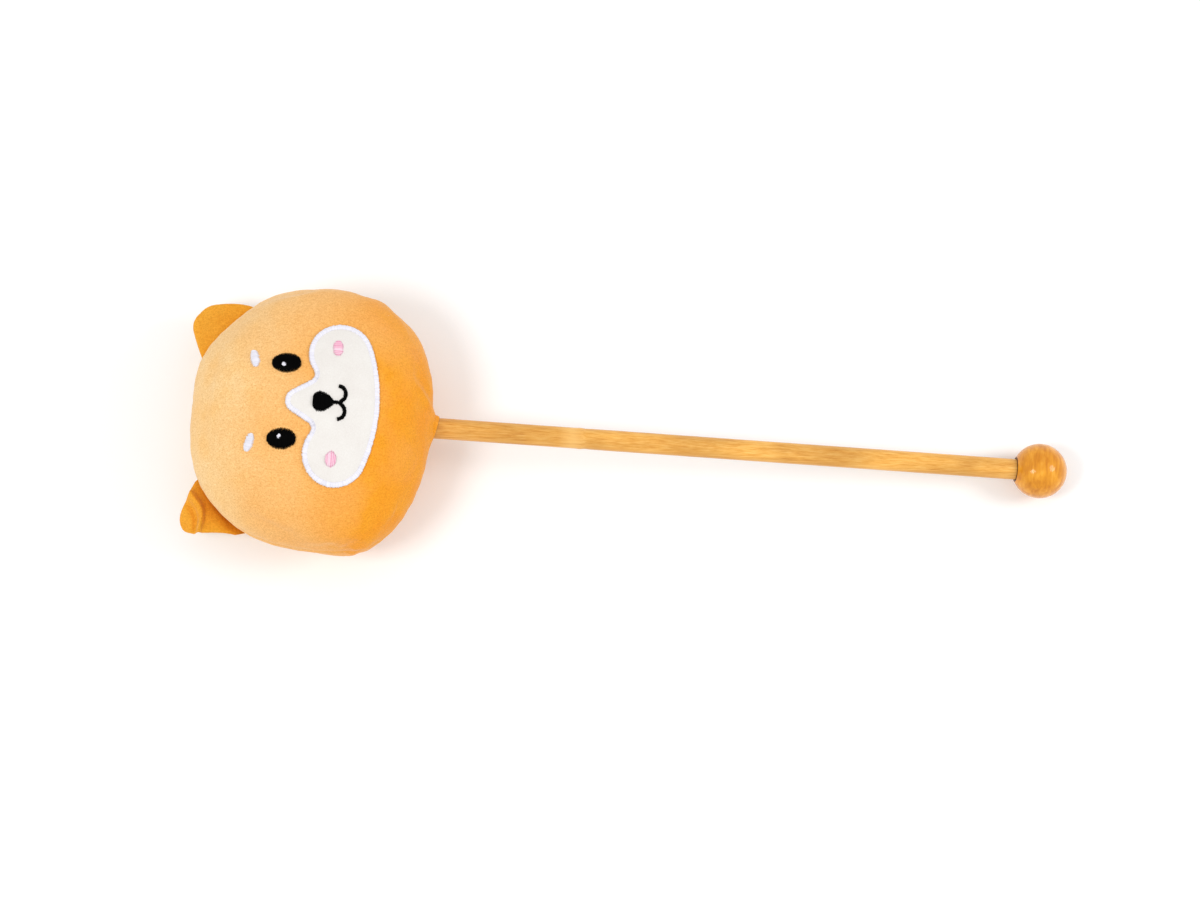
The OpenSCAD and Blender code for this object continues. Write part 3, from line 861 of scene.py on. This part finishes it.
def embroider_mark(name, surface, slot, lift, crown, seed, grow=1.0, shift=0.0, across=True):
    """An oval mark of satin stitches in place of the CAD mark of that name."""
    ends, low, high = ellipse_chords(name, across, grow, shift)
    rng = np.random.default_rng(seed)
    satin_fill(name + "_stitches", surface, slot, name, ends, low, high, lift, crown, rng)


def embroider_border(surface, outer, inner_gap, rng):
    """Short stitches side by side across the edge of the patch."""
    line, out = resample(outer, SPACING * 0.95)
    threads = Threads()
    for p, n in zip(line, out):
        a = p + n * rng.uniform(-0.1, 0.25) * MM
        b = p - n * (inner_gap + rng.uniform(-0.15, 0.15) * MM)
        stitch(threads, surface, a, b, 0.35 * MM, 0.7 * MM, SPACING * 1.4, 0.3 * MM)
    finish_piece(threads.make("muzzle_border_stitches"), "white_thread", ["muzzle_border"])


# The cream patch: its rise in the middle, how much less it rises at the rim, and its thickness
PATCH_RISE, PATCH_DROP, PATCH_THICK = 1.45, 0.75, 1.1 * MM


def patch_faces(rings, around):
    """Faces of two fans of rings, one above the other, closed at the rim."""
    fan = [(0, 1 + i, 1 + (i + 1) % around) for i in range(around)]
    ring = [tuple(1 + i for i in reversed(f)) for f in grid_faces(rings, around, True)]
    count, last = 1 + rings * around, 1 + (rings - 1) * around
    faces = two_sides(fan + ring, count)
    for i in range(around):
        j = (i + 1) % around
        faces.append((last + i, count + last + i, count + last + j, last + j))
    return faces


def build_muzzle(surface, outer, middle, band):
    """The cream patch: a low padded shape inside its border."""
    line, out = resample(outer, 1.1 * MM)
    rim = line - out * (band * 0.55)
    rings = 34
    uv, rise = [middle], [PATCH_RISE * MM]
    for k in range(1, rings + 1):
        share = k / rings
        height = (PATCH_RISE - PATCH_DROP * share**6) * MM
        uv += list(middle + (rim - middle) * share)
        rise += [height] * len(rim)
    top, _ = surface.at(np.array(uv), 0.0)
    top = top + AXIS_W * np.array(rise)[:, None]
    base = top - AXIS_W * PATCH_THICK
    points = list(top) + list(base)
    obj = new_object("muzzle_patch_pile", points, patch_faces(rings, len(rim)))
    pile(obj, 11, 0.05 * MM, 0.9 * MM)
    finish_piece(obj, "cream_pile", ["muzzle_patch"])
    return obj


def nose_chords():
    """The nose is widest near its crown end and rounds off to a narrow neck at the mouth."""
    low, high = head_box("nose")
    start, end = low[0] + 1.0 * MM, head_box("mouth")[0][0] + 1.6 * MM
    wide, narrow = (high[1] - low[1]) / 2 + 0.3 * MM, 0.75 * MM
    body = (end - start) * 0.72
    peak = 0.38

    def ends(u):
        s = min(1.0, (u - start) / body)
        if s < peak:
            half = wide * (1 - (1 - s / peak) ** 2.5) ** 0.4
        else:
            half = narrow + (wide - narrow) * (1 - ((s - peak) / (1 - peak)) ** 1.8)
        return (u, -half), (u, half)

    return ends, start + 0.1 * MM, end


def mouth_line():
    """Middle of the mouth's line, from the dog's right to its left."""
    low, high = head_box("mouth")
    band = 1.6 * MM
    half_v, top = high[1] - band / 2, low[0] + band / 2
    sag = high[0] - band / 2 - top
    mid_r, lobe_v = band * 0.6, half_v * 0.55
    rise = sag - mid_r
    r = (rise**2 + lobe_v**2 - mid_r**2) / (2 * sag)
    mid, lobe = np.array([top + mid_r, 0]), np.array([top + sag - r, lobe_v])
    join = math.atan2(*(mid - lobe)[::-1])
    end = math.asin(min(1, (half_v - lobe_v) / r)) + 0.35
    half = [lobe + r * np.array([math.cos(a), math.sin(a)]) for a in np.linspace(end, join, 30)]
    back = np.linspace(join + math.pi, math.pi, 8)[1:]
    half += [mid + mid_r * np.array([math.cos(a), math.sin(a)]) for a in back]
    half = np.array(half)
    return np.vstack([half, (half * [1, -1])[::-1][1:]])


def embroider_mouth(surface, lift, rng):
    """Short stitches across the mouth's line."""
    line = mouth_line()
    step = np.linalg.norm(np.diff(line, axis=0), axis=1)
    along = np.concatenate([[0], np.cumsum(step)])
    at = np.arange(0, along[-1], SPACING * 0.8)
    line = np.stack([np.interp(at, along, line[:, k]) for k in (0, 1)], axis=1)
    tangent = np.gradient(line, axis=0)
    tangent /= np.linalg.norm(tangent, axis=1)[:, None]
    out = np.stack([tangent[:, 1], -tangent[:, 0]], axis=1)
    threads = Threads()
    half = 0.88
    for p, n in zip(line, out):
        a = p + n * (half + rng.uniform(-0.08, 0.22)) * MM
        b = p - n * (half + rng.uniform(-0.08, 0.22)) * MM
        stitch(threads, surface, a, b, lift, 0.45 * MM)
    finish_piece(threads.make("mouth_stitches"), "black_thread", ["mouth"])


# ---------------------------------------------------------------- ears


class EarFrame:
    """x out from the fold line, y along it towards the crown, z towards the face."""

    def __init__(self, side):
        name = side + "_ear_flex"
        joint = next(j for j in frame["joints"] if j["name"] == name)
        self.origin = np.array(joint["pos_m"], float)
        axis = np.array(joint["axis"], float)
        self.z = AXIS_W
        self.x = np.cross(axis, self.z)
        if self.x @ AXIS_U > 0:
            self.x = -self.x
        self.y = axis if axis @ AXIS_U < 0 else -axis

    def world(self, p):
        p = np.asarray(p, float)
        return self.origin + p[..., :1] * self.x + p[..., 1:2] * self.y + p[..., 2:3] * self.z


def crease(x, y):
    """Rise of the dog's right ear, whose tip is folded back behind a rounded ridge."""
    line_x = (10.6 + 0.07 * np.clip(7.5 - y / MM, 0, None) ** 2) * MM
    past = (x - line_x) / MM
    beyond = np.clip(past, 0, None)
    ridge = 2.9 * hill(past, -1.7, 1.7)
    drop = -2.6 * (1 - np.exp(-((beyond / 0.8) ** 1.5))) - 0.2 * beyond
    tip = 1.9 * hill(past, 4.4, 2.6) * (past > 0)
    by_head = -1.7 * hill(x / MM, 2.0, 2.8)
    return (ridge + drop + tip + by_head) * MM


def bow_edge(edge, middle, amount, crown):
    """Bows the ear's edge on the crown's side, or the cheek's, out by an amount, or in."""
    corner = edge[edge[:, 1].argmax() if crown else edge[:, 1].argmin()]
    tip = edge[edge[:, 0].argmax()]
    along = (tip - corner) / np.linalg.norm(tip - corner)
    out = np.array([along[1], -along[0]]) * (-1 if crown else 1)
    share = np.clip((edge - corner) @ along / np.linalg.norm(tip - corner), 0, 1)
    near = np.clip((edge - middle) @ out / ((corner - middle) @ out), 0, 1)
    return edge + out * (amount * np.sin(math.pi * share**0.75) ** 0.8 * near)[:, None]


# How far the edges on the cheek's and the crown's side bow out: the creased ear is drawn in
EAR_BOW = {"left": (3.0 * MM, 0.9 * MM), "right": (-2.0 * MM, 0.0)}
EAR_STRETCH = 1.05


# Where a flap's rings of points are centred in the ear's frame, and how many they are
EAR_MIDDLE = np.array([9.5 * MM, 1 * MM])
EAR_RINGS = 40

# A layer's thickness in the middle, at its edge and at its root, and its gap to the other layer
EAR_THICK, EDGE_THICK, ROOT_THICK, LAYER_GAP = 2.5 * MM, 0.12 * MM, 1.3 * MM, 0.02 * MM

# The root is drawn out into the head, fully at the fold line and not at all from this far out
ROOT_DEEP, ROOT_FROM = 7.5 * MM, 4 * MM


def ear_edge(side, node, ear):
    """A layer's outline, bowed and stretched, with its root inside the head."""
    edge = outline_of(node, EAR_MIDDLE, ear.world, -ear.z, 30 * MM)
    for crown, amount in enumerate(EAR_BOW[side]):
        edge = bow_edge(edge, EAR_MIDDLE, amount, crown)
    edge[:, 0] *= np.where(edge[:, 0] > 0, EAR_STRETCH, 1.0)
    edge, _ = resample(edge, 0.55 * MM)
    edge[:, 0] -= np.clip((ROOT_FROM - edge[:, 0]) / ROOT_FROM, 0, 1) * ROOT_DEEP
    return edge


def ear_points(edge, face):
    """A layer's padded side and then its flat side, each in rings from the middle to the edge."""
    points = []
    for padded in (1, 0):
        for k in range(EAR_RINGS + 1):
            share = math.sin(math.pi / 2 * k / EAR_RINGS)
            p = EAR_MIDDLE + (edge - EAR_MIDDLE) * share
            dome = EAR_THICK * math.sqrt(max(0, 1 - share**2.6)) + EDGE_THICK
            z = np.where(p[:, 0] < 1 * MM, max(dome, ROOT_THICK), dome) * padded + LAYER_GAP
            points.append(np.stack([p[:, 0], p[:, 1], face * z], axis=1))
    return np.concatenate(points)


def ear_faces(spokes):
    """Faces of the two sides, and of the rim between them."""
    count, last = (EAR_RINGS + 1) * spokes, EAR_RINGS * spokes
    faces = two_sides(grid_faces(EAR_RINGS + 1, spokes, True), count)
    for i in range(spokes):
        j = (i + 1) % spokes
        faces.append((last + i, last + j, count + last + j, count + last + i))
    return faces


def build_ear_layer(side, face):
    """One of an ear's two layers, from inside the head's skin to the tip."""
    ear = EarFrame(side)
    node = f"{side}_ear_{'front' if face > 0 else 'back'}"
    edge = ear_edge(side, node, ear)
    p = ear_points(edge, face)
    # The flap is a little hollow towards the face
    p[:, 2] += 0.004 * ((p[:, 1] / MM) ** 2) * MM
    if side == "right":
        p[:, 2] += crease(p[:, 0], p[:, 1])
    obj = new_object(node + "_fabric", ear.world(p), ear_faces(len(edge)))
    bm = bmesh.new()
    bm.from_mesh(obj.data)
    bmesh.ops.remove_doubles(bm, verts=bm.verts, dist=0.01 * MM)
    bmesh.ops.recalc_face_normals(bm, faces=bm.faces)
    bm.to_mesh(obj.data)
    bm.free()
    pile(obj, 21 + face)
    nodes = [node, side + "_ear_base"] if face > 0 else [node]
    finish_piece(obj, "plush_ear" if face > 0 else "plush_back", nodes, body=None)
    tuple(ear.world((-1.2 * MM, 0, 0)))
    tuple(ear.world((3.5 * MM, 0, 0)))
    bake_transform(obj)


# ---------------------------------------------------------------- filling, seam, glue


def build_filling(head):
    """Lumpy fibre filling, with its hollow for the stick and the anchor ball."""
    obj = link_mesh("fibre_filling", frame["nodes"]["stuffing"].data.copy())
    voxel_remesh(obj, 2.2 * MM)
    co, out = vertices(obj), normals(obj)
    lumps = grain(co, 7 * MM, 8) + 0.5 * grain(co, 3 * MM, 9)
    co -= out * ((0.5 + 0.4 * lumps) * MM)[:, None]
    skin = BVHTree.FromObject(head, bpy.context.evaluated_depsgraph_get())
    room = 2.0 * MM
    for i, p in enumerate(co):
        near, normal, _, _ = skin.find_nearest(Vector(p))
        depth = (near - Vector(p)).dot(normal)
        if depth < room:
            co[i] = p - np.array(normal) * (room - depth)
    set_vertices(obj, co)
    finish_piece(obj, "fill_fibre", ["stuffing"])


def build_seam(head):
    """Ladder stitches sunk in the groove where the two panels meet."""
    skin = BVHTree.FromObject(head, bpy.context.evaluated_depsgraph_get())
    ring = to_head(vertices(frame["nodes"]["head_seam_thread"]))
    open_angle = np.abs(np.arctan2(ring[:, 1], ring[:, 0])).min()
    outside = 100 * MM
    rng = np.random.default_rng(60)
    threads = Threads()
    angle = open_angle
    while angle < 2 * math.pi - open_angle:
        turn = 0.045 + rng.uniform(-0.004, 0.004)
        line, up = [], []
        for t in np.linspace(0, 1, 7):
            a = angle + turn * t
            way = np.array([math.cos(a), math.sin(a), 0.0])
            out = to_world(way) - CENTRE
            hit = skin.ray_cast(Vector(to_world(way * outside)), Vector(-out))[0]
            depth = (1.6 - 0.9 * math.sin(math.pi * t) ** 0.5) * MM
            slant = (t - 0.5) * 1.1 * MM
            line.append(np.array(hit) - out * depth + AXIS_W * slant)
            up.append(out)
        threads.add(line, up, 0.7 * MM, 0.6 * MM)
        angle += turn * 1.35
    finish_piece(threads.make("seam_ladder_stitches"), "tan_thread", ["head_seam_thread"])


def ring_round(u, radius, turn):
    """Points round the stick's middle line, where u and the radius may be one value or many."""
    u, radius, turn = np.broadcast_arrays(u, radius, turn)
    return np.stack([u, radius * np.cos(turn), radius * np.sin(turn)], axis=1)


def build_glue_bead():
    """Uneven dark bead of glue where the stick enters the grip ball."""
    low = head_box("grip_ball_glue")[0][0]
    mouth = head_box("grip_ball")[0][0]
    around, steps = 80, 12
    turn = np.arange(around) * 2 * math.pi / around
    uneven = np.array([noise.noise(Vector((math.cos(a), math.sin(a), 4.0)) * 1.7) for a in turn])
    width = (1.0 + 0.25 * uneven) * MM
    rows = []
    for k in range(steps):
        t = 2 * math.pi * k / steps
        r = STICK_R - 0.02 * MM + width * (0.5 - 0.5 * math.cos(t))
        u = max(low, mouth) - 0.05 * MM - 0.5 * MM * math.sin(t)
        rows.append(ring_round(u, r, turn))
    p = np.concatenate(rows)
    grid = grid_faces(steps + 1, around, True)
    faces = [tuple(i % len(p) for i in reversed(f)) for f in grid]
    obj = new_object("glue_bead", to_world(p), faces)
    finish_piece(obj, "wood_glue", ["grip_ball_glue"])


# ---------------------------------------------------------------- neck and stick


def build_neck():
    """Gathered plush that ends in a slanted rolled lip round the stick."""
    high = head_box("neck_collar")[1][0]
    around, steps = 96, 20
    turn = np.arange(around) * 2 * math.pi / around
    pleat = np.cos(turn * PLEATS + PLEAT_START)
    lip = high + 0.6 * MM - 2.2 * MM * (1 - np.cos(turn - 0.3)) / 2
    start = high - 8 * MM
    # The share of the rings that run along the stick, before the lip rolls in
    straight = 0.7
    wide, narrow, rolled = 9.0, 5.5, 4.85
    rows = []
    for k in range(steps):
        t = k / (steps - 1)
        if t < straight:
            s = t / straight
            r = (wide - (wide - narrow) * s**0.8) * MM * (1 + 0.05 * pleat * (1 - 0.5 * s))
            u = start + (lip - start) * s
        else:
            s = (t - straight) / (1 - straight)
            r = (narrow - (narrow - rolled) * math.sin(s * math.pi / 2)) * MM
            u = lip - 2.2 * MM * s * s + 0.5 * MM * math.sin(math.pi * s)
        rows.append(ring_round(u, r, turn))
    p = np.concatenate(rows)
    obj = new_object("neck_gathers", to_world(p), grid_faces(steps, around, True))
    thick = obj.modifiers.new("thick", "SOLIDIFY")
    thick.thickness = 0.5 * MM
    apply_modifiers(obj)
    subdivide(obj, 1)
    pile(obj, 31)
    finish_piece(obj, "plush_face", ["neck_collar"])


def build_stick():
    """A round bamboo stick with one raised joint of the cane."""
    around, steps = 64, 420
    rows = []
    turn = np.arange(around) * 2 * math.pi / around
    facet = 0.02 * MM * np.cos(turn * 11 + 0.5)
    bevel = 0.6 * MM
    for u in np.linspace(STICK_START, STICK_END, steps):
        end = max(0.0, 1 - min(u - STICK_START, STICK_END - u) / bevel)
        ridge = 0.16 * hill(u, KNOT, 1.3 * MM)
        dip = 0.10 * hill(u, KNOT + 2.6 * MM, 1.5 * MM)
        wave = 0.03 * noise.noise(Vector((u * 90, 2.0, 5.0)))
        r = STICK_R - end * bevel + (ridge - dip + wave - 0.05) * MM + facet
        rows.append(ring_round(u, r, turn))
    p = np.concatenate(rows)
    faces = grid_faces(steps, around, True)
    faces.append(tuple(reversed(range(around))))
    faces.append(tuple((steps - 1) * around + i for i in range(around)))
    obj = new_object("bamboo_stick", to_world(p), faces)
    finish_piece(obj, "bamboo", ["stick"])


# ---------------------------------------------------------------- build


# Marks on each side: thread, lift off the plush, rise in the middle, seed, growth, shift
MARKS = {
    "eye": ("black_thread", 0.2 * MM, 0.9 * MM, 40, 1.06, 0.0),
    "eye_glint": ("white_thread", 1.0 * MM, 0.5 * MM, 42, 0.8, 0.9 * MM),
    "brow": ("white_thread", 0.2 * MM, 0.7 * MM, 44, 1.2, 0.0),
}


def build_face(surface):
    """The muzzle's patch, and the embroidery on it and on the front panel."""
    border_high, patch_high = head_box("muzzle_border")[1], head_box("muzzle_patch")[1]
    band = border_high[1] - patch_high[1]
    middle = np.array([border_high[0] * 0.4, 0.0])
    outer = outline_of("muzzle_border", middle, to_world, -AXIS_W, 50 * MM)
    on_patch = Surface(build_muzzle(surface, outer, middle, band))
    embroider_border(surface, outer, band, np.random.default_rng(1))
    lift = 0.1 * MM
    for i, side in enumerate(("left", "right")):
        for mark, (slot, off, crown, seed, grow, shift) in MARKS.items():
            embroider_mark(f"{side}_{mark}", surface, slot, off, crown, seed + i, grow, shift)
        across = side == "left"
        cheek = f"{side}_cheek"
        embroider_mark(cheek, on_patch, "pink_thread", lift, 0.5 * MM, 46 + i, across=across)
    chords = nose_chords()
    rng = np.random.default_rng(50)
    satin_fill("nose_stitches", on_patch, "black_thread", "nose", *chords, lift, 0.8 * MM, rng)
    embroider_mouth(on_patch, lift, np.random.default_rng(51))


def build():
    """All the pieces of the visual model, and the looks of the CAD nodes that stay in view."""
    head = build_head()
    shape_head(head)
    front = panel(head, "head_front_plush", 1)
    back = panel(head, "head_back_plush", -1)
    build_filling(head)
    build_seam(head)
    build_glue_bead()
    bpy.data.objects.remove(head)
    finish_piece(front, "plush_face", ["head_front_panel"])
    finish_piece(back, "plush_back", ["head_back_panel"])
    build_face(Surface(front))
    for side in ("left", "right"):
        for face in (1, -1):
            build_ear_layer(side, face)
    build_neck()
    build_stick()
    for name, obj in frame["nodes"].items():
        slot = next(s["material_slot"] for s in RECORD["subparts"] if s["node"] == name)
        obj.data.materials.clear()
        obj.data.materials.append(MATERIALS[slot])


def add_light(name, place, target, size, power, colour):
    data = bpy.data.lights.new(name, "AREA")
    data.shape = "DISK"
    data.size = size
    data.energy = power
    data.color = colour
    obj = bpy.data.objects.new(name, data)
    obj.location = place
    toward = Vector(target) - Vector(place)
    obj.rotation_euler = toward.to_track_quat("-Z", "Y").to_euler()
    bpy.context.scene.collection.objects.link(obj)


def build_studio():
    floor = new_object(
        "floor", [(-4, -4, 0), (4, -4, 0), (4, 4, 0), (-4, 4, 0)], [(0, 1, 2, 3)], smooth=False
    )
    m = Nodes("floor")
    m.set(Base_Color=(0.94, 0.95, 0.96, 1.0), Roughness=0.9, Specular_IOR_Level=0.1)
    floor.data.materials.append(m.material)
    floor.location.z = -0.2 * MM
    world = bpy.data.worlds.new("studio")
    world.use_nodes = True
    background = world.node_tree.nodes["Background"]
    background.inputs["Color"].default_value = (1.0, 1.0, 1.0, 1.0)
    background.inputs["Strength"].default_value = 0.82
    bpy.context.scene.world = world
    middle = (0.1, 0.0, 0.03)
    add_light("key", (-0.55, -0.35, 1.3), middle, 0.45, 6.6, (1.0, 0.985, 0.96))
    add_light("fill", (1.3, 0.1, 0.95), middle, 0.55, 6.4, (1.0, 1.0, 1.0))


def build_camera():
    """Nearly overhead, from the dog's right, turned so that the stick slopes a little."""
    elevation, roll = math.radians(78.5), math.radians(3.15)
    target = np.array([0.11996, -0.00519, 0.025])
    distance = 1.6
    ahead = np.array([0.0, math.cos(elevation), -math.sin(elevation)])
    flat = np.array([1.0, 0.0, 0.0])
    upright = np.cross(flat, ahead)
    right = math.cos(roll) * flat + math.sin(roll) * upright
    up = -math.sin(roll) * flat + math.cos(roll) * upright
    data = bpy.data.cameras.new("camera")
    data.lens = 105.8
    camera = bpy.data.objects.new("camera", data)
    place = target - ahead * distance
    camera.matrix_world = Matrix(
        [[right[i], up[i], -ahead[i], place[i]] for i in range(3)] + [[0, 0, 0, 1]]
    )
    bpy.context.scene.collection.objects.link(camera)
    bpy.context.scene.camera = camera


build()
build_studio()
build_camera()
bpy.context.scene.view_settings.view_transform = "Standard"
